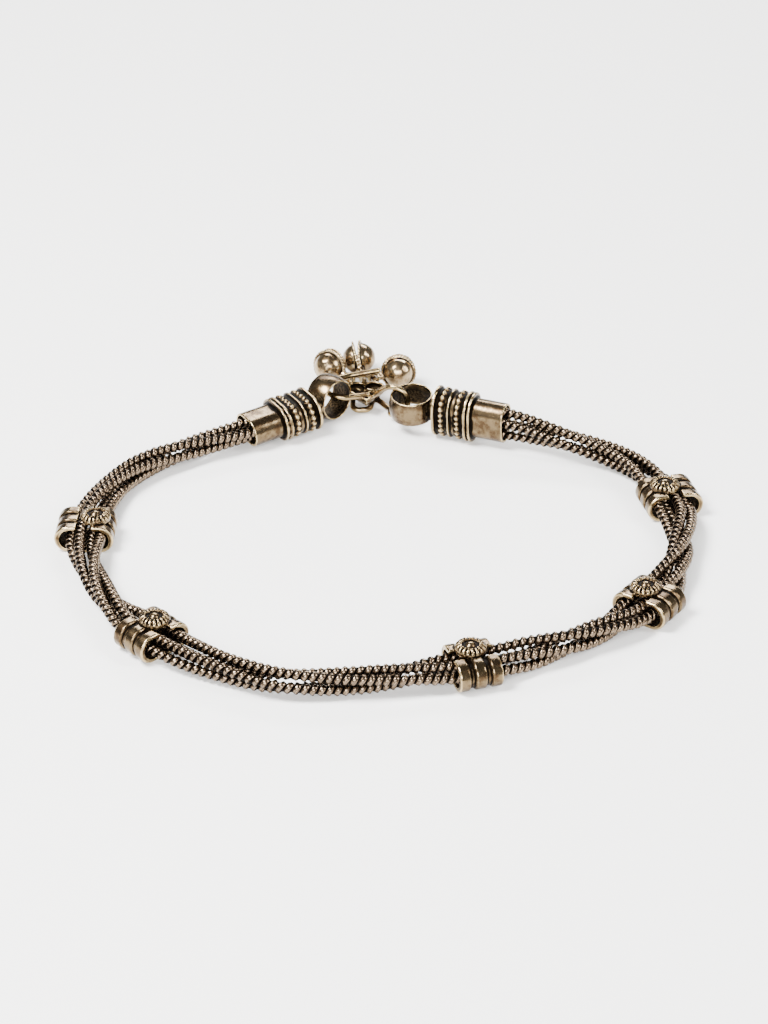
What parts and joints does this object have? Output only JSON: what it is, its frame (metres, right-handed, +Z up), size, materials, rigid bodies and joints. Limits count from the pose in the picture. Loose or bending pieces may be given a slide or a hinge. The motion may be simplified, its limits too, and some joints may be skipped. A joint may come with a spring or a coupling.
{
  "type": "payal anklet",
  "caption": "Ankle chain of twisted flattened-link strands with ribbed flower sliders, beaded end caps, a heart clasp with hooks, and small clam-shaped bells.",
  "frame": {"origin": "middle of the ankle opening, on the surface that the anklet lies on", "axes": "+Z up from that surface; +Y towards the clasp, +X towards the right end cap"},
  "size_m": [0.0974, 0.0968, 0.0084],
  "materials": {
    "oxidised_chain": "oxidised silver-coloured metal, dark between the links",
    "oxidised_silver": "oxidised silver-coloured metal, brown-black in the recesses, polished by wear on the ridges",
    "polished_wire": "smooth warm silver-coloured wire",
    "bell_metal": "warm silver-coloured sheet, slightly golden",
    "bell_ball_metal": "dull loose ball"
  },
  "bodies": {
    "root": {"strand_1": "oxidised_chain", "strand_2": "oxidised_chain", "strand_3": "oxidised_chain", "strand_4": "oxidised_chain", "slider_1": "oxidised_silver", "slider_2": "oxidised_silver", "slider_3": "oxidised_silver", "slider_4": "oxidised_silver", "slider_5": "oxidised_silver", "end_cap_left": "oxidised_silver", "end_cap_right": "oxidised_silver", "clasp_hook": "oxidised_silver", "bell_ring": "polished_wire", "bell_1": "bell_metal", "bell_2": "bell_metal", "bell_3": "bell_metal", "bell_ball_1": "bell_ball_metal", "bell_ball_2": "bell_ball_metal", "bell_ball_3": "bell_ball_metal"}
  },
  "joints": []
}
